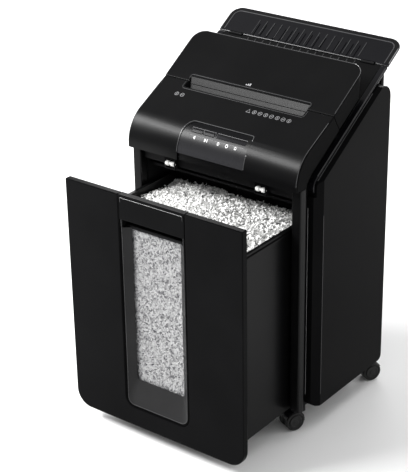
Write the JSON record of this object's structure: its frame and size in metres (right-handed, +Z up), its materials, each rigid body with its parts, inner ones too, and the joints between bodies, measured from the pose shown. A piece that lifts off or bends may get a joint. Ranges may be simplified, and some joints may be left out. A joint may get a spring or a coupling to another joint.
{
  "type": "paper shredder",
  "caption": "Free-standing black paper shredder with a sloping auto-feed head, manual slot, pull-out windowed bin drawer holding shreds, rear tray flap and swivel casters.",
  "frame": {"origin": "on the floor, at the middle of the bounding box with the drawer drawn out as stored", "axes": "+X to the machine's own left-hand side as seen from behind (its right as one faces the front), +Y to the back, +Z up"},
  "size_m": [0.353, 0.4452, 0.5961],
  "materials": {
    "black_shell": "fine satin black, moulded",
    "gloss_black": "glossy black, moulded",
    "inner_black": "plain dark grey-black, moulded",
    "clear_window": "clear plastic sheet",
    "indicator_lens": "smoked lens",
    "white_nylon": "white nylon",
    "cutter_steel": "ground steel",
    "zinc_plate": "zinc-plated steel",
    "rubber_tyre": "black rubber and hard plastic",
    "paper_bits": "cross-cut white paper",
    "board_green": "solder-masked laminate"
  },
  "bodies": {
    "cabinet": {"base_frame": "inner_black", "bin_rail_left": "inner_black", "bin_rail_right": "inner_black", "catch_left_bracket": "inner_black", "catch_right_bracket": "inner_black", "column_left": "black_shell", "column_right": "black_shell", "control_board": "board_green", "control_panel": "gloss_black", "cross_beam": "inner_black", "end_plate_left": "zinc_plate", "end_plate_right": "zinc_plate", "feed_tray": "black_shell", "flap_hinge_left": "zinc_plate", "flap_hinge_right": "zinc_plate", "head_base": "inner_black", "head_cover": "black_shell", "indicator_strip": "indicator_lens", "lid_hinge_left": "zinc_plate", "lid_hinge_right": "zinc_plate", "mains_inlet": "inner_black", "motor": "cutter_steel", "rear_cover": "black_shell", "side_cover_left": "black_shell", "side_cover_right": "black_shell", "side_plate_left": "inner_black", "side_plate_right": "inner_black", "tray_rail_left": "gloss_black", "tray_rail_right": "gloss_black"},
    "drawer": {"front_panel": "black_shell", "handle_bar": "black_shell", "handle_pocket": "inner_black", "window_bezel": "black_shell", "window_pane": "clear_window", "bin_body": "black_shell", "paper_shreds": "paper_bits"},
    "lid": {"lid": "black_shell", "pressure_plate": "inner_black"},
    "flap": {"tray_flap": "gloss_black"},
    "reverse_button": {"reverse_button": "gloss_black"},
    "start_button": {"start_button": "gloss_black"},
    "power_switch": {"power_switch": "gloss_black"},
    "cutter_front": {"cutter_front": "cutter_steel", "gear_front": "zinc_plate"},
    "cutter_rear": {"cutter_rear": "cutter_steel", "gear_rear": "zinc_plate"},
    "idler": {"gear_idler": "zinc_plate"},
    "pinion": {"motor_pinion": "zinc_plate"},
    "feed_roller": {"feed_roller": "rubber_tyre"},
    "caster_front_left": {"caster_hood_front_left": "gloss_black"},
    "wheels_front_left": {"caster_wheel_front_left": "rubber_tyre"},
    "caster_front_right": {"caster_hood_front_right": "gloss_black"},
    "wheels_front_right": {"caster_wheel_front_right": "rubber_tyre"},
    "caster_rear_left": {"caster_hood_rear_left": "gloss_black"},
    "wheels_rear_left": {"caster_wheel_rear_left": "rubber_tyre"},
    "caster_rear_right": {"caster_hood_rear_right": "gloss_black"},
    "wheels_rear_right": {"caster_wheel_rear_right": "rubber_tyre"},
    "catch_roller_left": {"catch_left_roller": "white_nylon"},
    "catch_roller_right": {"catch_right_roller": "white_nylon"}
  },
  "joints": [
    {"name": "drawer_slide", "type": "slide", "parent": "cabinet", "child": "drawer", "axis": [0, -1, 0], "range_m": [-0.1444, 0.07]},
    {"name": "lid_hinge", "type": "hinge", "parent": "cabinet", "child": "lid", "pos_m": [0, 0.02808, 0.52929], "axis": [1, 0, 0], "range_deg": [0, 70]},
    {"name": "flap_hinge", "type": "hinge", "parent": "cabinet", "child": "flap", "pos_m": [0, 0.17468, 0.56783], "axis": [1, 0, 0], "range_deg": [0, 95]},
    {"name": "reverse_button_press", "type": "slide", "parent": "cabinet", "child": "reverse_button", "axis": [0, 0.6823, -0.731], "range_m": [0, 0.0012], "stiffness_N_per_m": 300, "springref_m": -0.001},
    {"name": "start_button_press", "type": "slide", "parent": "cabinet", "child": "start_button", "axis": [0, 0.6823, -0.731], "range_m": [0, 0.0012], "stiffness_N_per_m": 300, "springref_m": -0.001},
    {"name": "power_switch_rock", "type": "hinge", "parent": "cabinet", "child": "power_switch", "pos_m": [0.085, 0.17998, 0.11], "axis": [1, 0, 0], "range_deg": [-10, 0]},
    {"name": "cutter_front_spin", "type": "hinge", "parent": "cabinet", "child": "cutter_front", "pos_m": [0, 0.01798, 0.4455], "axis": [1, 0, 0], "continuous": true},
    {"name": "cutter_rear_spin", "type": "hinge", "parent": "cabinet", "child": "cutter_rear", "pos_m": [0, 0.04798, 0.4455], "axis": [1, 0, 0], "continuous": true},
    {"name": "idler_spin", "type": "hinge", "parent": "cabinet", "child": "idler", "pos_m": [0, 0.07798, 0.4455], "axis": [1, 0, 0], "continuous": true},
    {"name": "pinion_spin", "type": "hinge", "parent": "cabinet", "child": "pinion", "pos_m": [0, 0.10048, 0.4455], "axis": [1, 0, 0], "continuous": true},
    {"name": "feed_roller_spin", "type": "hinge", "parent": "cabinet", "child": "feed_roller", "pos_m": [0, 0.08002, 0.49619], "axis": [1, 0, 0], "continuous": true},
    {"name": "swivel_front_left", "type": "hinge", "parent": "cabinet", "child": "caster_front_left", "pos_m": [-0.1475, -0.02802, 0.039], "axis": [0, 0, 1], "continuous": true},
    {"name": "roll_front_left", "type": "hinge", "parent": "caster_front_left", "child": "wheels_front_left", "pos_m": [-0.13969, -0.04556, 0.0165], "axis": [0.9135, 0.4067, 0], "continuous": true},
    {"name": "swivel_front_right", "type": "hinge", "parent": "cabinet", "child": "caster_front_right", "pos_m": [0.1475, -0.02802, 0.039], "axis": [0, 0, 1], "continuous": true},
    {"name": "roll_front_right", "type": "hinge", "parent": "caster_front_right", "child": "wheels_front_right", "pos_m": [0.13969, -0.04556, 0.0165], "axis": [0.9135, -0.4067, 0], "continuous": true},
    {"name": "swivel_rear_left", "type": "hinge", "parent": "cabinet", "child": "caster_rear_left", "pos_m": [-0.1475, 0.14798, 0.039], "axis": [0, 0, 1], "continuous": true},
    {"name": "roll_rear_left", "type": "hinge", "parent": "caster_rear_left", "child": "wheels_rear_left", "pos_m": [-0.1571, 0.16461, 0.0165], "axis": [-0.866, -0.5, 0], "continuous": true},
    {"name": "swivel_rear_right", "type": "hinge", "parent": "cabinet", "child": "caster_rear_right", "pos_m": [0.1475, 0.14798, 0.039], "axis": [0, 0, 1], "continuous": true},
    {"name": "roll_rear_right", "type": "hinge", "parent": "caster_rear_right", "child": "wheels_rear_right", "pos_m": [0.1571, 0.16461, 0.0165], "axis": [-0.866, 0.5, 0], "continuous": true},
    {"name": "catch_roller_left_spin", "type": "hinge", "parent": "cabinet", "child": "catch_roller_left", "pos_m": [-0.089, -0.06192, 0.421], "axis": [1, 0, 0], "continuous": true},
    {"name": "catch_roller_right_spin", "type": "hinge", "parent": "cabinet", "child": "catch_roller_right", "pos_m": [0.089, -0.06192, 0.421], "axis": [1, 0, 0], "continuous": true}
  ],
  "couplings": [
    {"joint": "cutter_rear_spin", "follows": "cutter_front_spin", "ratio": -1},
    {"joint": "idler_spin", "follows": "cutter_front_spin", "ratio": 1},
    {"joint": "pinion_spin", "follows": "cutter_front_spin", "ratio": -2},
    {"joint": "feed_roller_spin", "follows": "cutter_front_spin", "ratio": -0.5}
  ]
}
